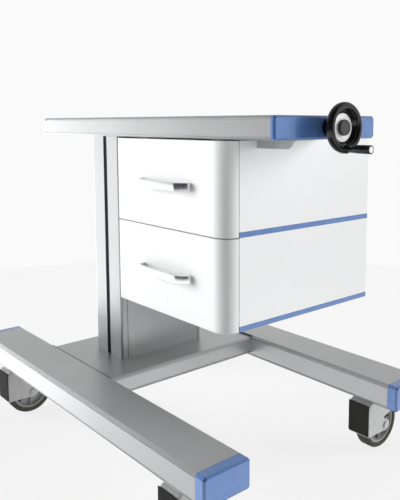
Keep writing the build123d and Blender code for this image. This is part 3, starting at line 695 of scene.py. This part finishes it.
def add_handwheel():
    """Dished handwheel with a glossy black rim, a bright disc and a dark grey hub cap."""
    low, high = corners_of("handwheel_rim")
    centre = middle("handwheel_disc")
    centre.x = high.x - CRANK_COLLAR * MM
    radius = (high.y - low.y) / 2 / MM
    back = (low.x - centre.x) / MM
    boss = [(back, SPINDLE_BORE), (back, 14, 2), (-14, 17, 8), (WHEEL_BACK, 37, 5)]
    rim = [(WHEEL_BACK, radius, 7), (WHEEL_FRONT, radius, 6.5), (WHEEL_FRONT, 36, 5)]
    dish = [(2, 35, 3), (WHEEL_SEAT, 29, 1.5), (WHEEL_SEAT, SPINDLE_BORE)]
    wheel = turned(bmesh.new(), rounded(boss + rim + dish, 8), centre, 128)
    crank = Vector((centre.x, centre.y, middle("grip_sleeve").z))
    root = [(WHEEL_SEAT, CRANK_BORE), (WHEEL_SEAT, CRANK_BOSS), (-WHEEL_SEAT, CRANK_BOSS, 3)]
    collar = [(CRANK_COLLAR, 7.6, 1.2), (CRANK_COLLAR, CRANK_BORE)]
    turned(wheel, rounded(root + collar, 5), crank, 48)
    finished("wheel_rim", wheel, "black_gloss", "handwheel", "handwheel_rim")

    front = WHEEL_SEAT + WHEEL_DISC_THICK
    rear_side = [(WHEEL_SEAT, SPINDLE_BORE), (WHEEL_SEAT, WHEEL_DISC)]
    front_side = [(front, WHEEL_DISC, 1.4), (front, SPINDLE_BORE)]
    disc = turned(bmesh.new(), rounded(rear_side + front_side, 4), centre, 96)
    finished("wheel_disc", disc, "bright_disc", "handwheel", "handwheel_disc")

    face = WHEEL_CAP_FRONT - WHEEL_CAP_LIP
    wall = [(front, 0), (front, WHEEL_CAP), (WHEEL_CAP_FRONT, WHEEL_CAP, 1.6)]
    hollow = [(WHEEL_CAP_FRONT, 12.4, 0.4), (face, 11.8), (face, 0)]
    cap = turned(bmesh.new(), rounded(wall + hollow, 4), centre)
    finished("wheel_cap", cap, "dark_grey", "handwheel", "handwheel_hub_cap")


def add_grip():
    """Turning grip: a slightly swelling sleeve with a step at its foot and a bright end disc."""
    low, high = corners_of("grip_sleeve")
    start = middle("grip_sleeve")
    start.x = low.x
    length = (high.x - low.x) / MM
    foot = [(0, CRANK_BORE), (0, GRIP_FOOT, 1.2), (4.5, GRIP_FOOT), (5.5, GRIP_NECK, 0.5)]
    sleeve = [(7, 7.4), (length * 0.45, GRIP_BELLY, 40), (length, GRIP_END, 1.6)]
    recess = [(length, 6.9), (length - 3, GRIP_NECK), (length - 7, GRIP_NECK), (length - 7, CRANK_BORE)]
    body = turned(bmesh.new(), rounded(foot + sleeve + recess, 6), start)
    finished("grip_body", body, "black_gloss", "grip", "grip_sleeve")

    low, high = corners_of("grip_disc")
    thick = (high.x - low.x) / MM
    face = rounded([(0, 0), (0, GRIP_DISC), (thick, GRIP_DISC, 0.8), (thick + 0.2, 0)], 4)
    end = turned(bmesh.new(), face, Vector((low.x, start.y, start.z)))
    finished("grip_end", end, "bright_disc", "grip", "grip_disc")


def mirrored(half):
    """Both halves of a turned outline whose left half is given, from the bore outwards."""
    return half + [(-x, *rest) for x, *rest in reversed(half)]


def add_castor(corner):
    """Tyre and ribbed hub in place of the plain wheel, and a near-black plate, almost without shine, on
    the hood's front: painted shade under the front beam.
    """
    node = f"castor_{corner}_wheel"
    centre = middle(node)
    side = -TYRE_WIDTH / 2
    shoulder = TYRE_RADIUS - TYRE_SHOULDER
    tread = [(side, RIM_RADIUS), (side, shoulder, 2.5), (side + TYRE_SHOULDER, TYRE_RADIUS, 3.5)]
    tyre = turned(bmesh.new(), rounded(mirrored(tread), 5), centre, 96)
    finished(f"castor_{corner}_tyre", tyre, "rubber", f"wheel_{corner}", node)

    boss = [(-20.5, AXLE_BORE), (-20.5, 12, 1.2), (-5, 15, 3)]
    web = [(-3, RIM_RADIUS - 9, 2.5), (-13.5, RIM_RADIUS - 5, 1), (-14, RIM_RADIUS)]
    hub = turned(bmesh.new(), rounded(mirrored(boss + web), 4), centre, 72)
    rib = [(-12, 12.5), (12, 12.5), (9, RIM_RADIUS - 4), (-9, RIM_RADIUS - 4)]
    upright = Matrix.Rotation(math.radians(90), 4, "X") @ Matrix.Translation((0, 0, -HUB_RIB / 2 * MM))
    for step in range(HUB_RIBS):
        turn = Matrix.Rotation(math.tau * step / HUB_RIBS, 4, "X")
        slab(hub, rib, HUB_RIB, Matrix.Translation(centre) @ turn @ upright)
    finished(f"castor_{corner}_hub", hub, "hub_grey", f"wheel_{corner}")

    low, high = corners_of(f"castor_{corner}_fork")
    half = (high.x - low.x) / MM / 2 - COVER_MARGIN
    foot = [(-half, 0, 3), (half, 0, 3)]
    top = [(half, COVER_HEIGHT, 2), (-half, COVER_HEIGHT, 2)]
    front = Matrix.Translation((centre.x, low.y + COVER_SUNK * MM, COVER_FOOT * MM))
    upright = Matrix.Rotation(math.radians(90), 4, "X")
    cover = slab(bmesh.new(), rounded(foot + top, 5), COVER_THICK, front @ upright)
    soften(finished(f"castor_{corner}_cover", cover, "cover_dark", f"castor_{corner}"), COVER_EDGE * MM)


def add_seam_shade(end, side):
    """A dark bead that fills the step between the cross-member's top and a beam's chamfered edge: painted
    shade along that seam.
    """
    beam_low, beam_high = corners_of(f"{end}_beam")
    low, high = corners_of("cross_member")
    width = (high.x - low.x) / MM
    edge = beam_high.y if side < 0 else beam_low.y
    drop = (beam_high.z - high.z) / MM
    foot = -drop - SEAM_SHADE_SUNK
    on_beam = [(-BEAM_CHAMFER, -SEAM_SHADE_SUNK), (drop - BEAM_CHAMFER - SEAM_SHADE_BITE, foot)]
    on_cross = [(-SEAM_SHADE_FOOT, foot), (-SEAM_SHADE_BROW, -SEAM_SHADE_DIP)]
    outline = [(-side * across, up) for across, up in on_beam + on_cross]
    along_x = Matrix(((0, 0, 1), (1, 0, 0), (0, 1, 0))).to_4x4()
    place = Matrix.Translation((low.x, edge, beam_high.z)) @ along_x
    finished(f"{end}_seam_shade", slab(bmesh.new(), outline, width, place), "dark_grey", "base")


def add_pieces():
    add_seam_shade("front", -1)
    add_seam_shade("rear", 1)
    for tier in ("upper", "lower"):
        add_handle(tier)
        add_screws(tier)
    add_handwheel()
    add_grip()
    for corner in ("fl", "fr", "rl", "rr"):
        add_castor(corner)


add_camera()
add_world()
add_floor()
add_lights()
paint_frame()
add_pieces()

bpy.context.scene.view_settings.view_transform = "Standard"
